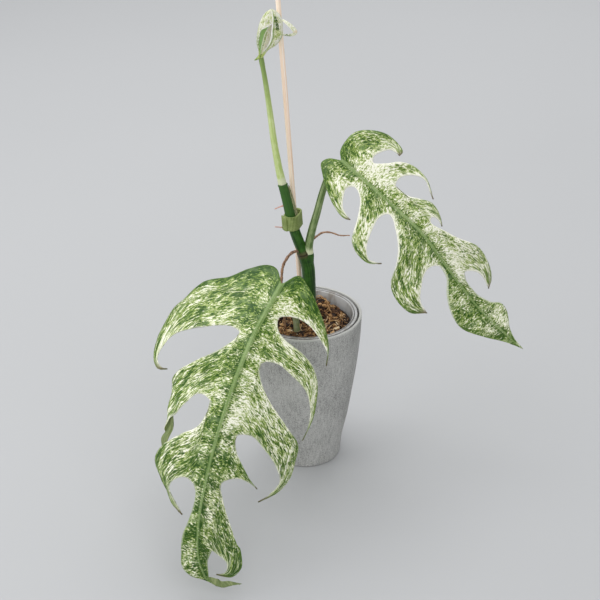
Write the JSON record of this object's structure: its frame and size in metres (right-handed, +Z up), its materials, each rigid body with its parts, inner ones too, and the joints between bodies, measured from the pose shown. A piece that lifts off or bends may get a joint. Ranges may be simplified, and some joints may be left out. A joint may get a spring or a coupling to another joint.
{
  "type": "potted white monster epipremnum pinnatum",
  "caption": "Potted climbing aroid with lobed, cream-marbled green leaves on arching stalks, tied to a wooden stake in a grey cachepot; it stands on a flat base.",
  "frame": {"origin": "middle of the cachepot's underside, where it stands", "axes": "+Z up; -Y is the front, the side the big leaf hangs over; +X is the side the second leaf arches to"},
  "size_m": [0.3366, 0.2904, 0.5122],
  "materials": {
    "cachepot": "matt, speckled grey",
    "nursery_pot": "clear, slightly clouded",
    "substrate": "coarse coir and bark",
    "stem": "smooth dark green bark",
    "stake": "bare pale wood",
    "tie": "woven hook-and-loop band",
    "petiole": "satin green skin",
    "leaf": "satin, green and cream marbled",
    "new_leaf": "satin, cream streaked with green",
    "root": "dry brown skin",
    "root_bud": "matt pinkish skin"
  },
  "bodies": {
    "root": {"cachepot": "cachepot", "nursery_pot": "nursery_pot", "substrate": "substrate", "stem": "stem", "stake": "stake", "tie": "tie", "petiole_lower": "petiole", "petiole_right": "petiole", "petiole_new": "petiole", "leaf_lower": "leaf", "leaf_right": "leaf", "leaf_new": "new_leaf", "root_left": "root", "root_right": "root", "root_bud_upper": "root_bud", "root_bud_lower": "root_bud"}
  },
  "joints": []
}
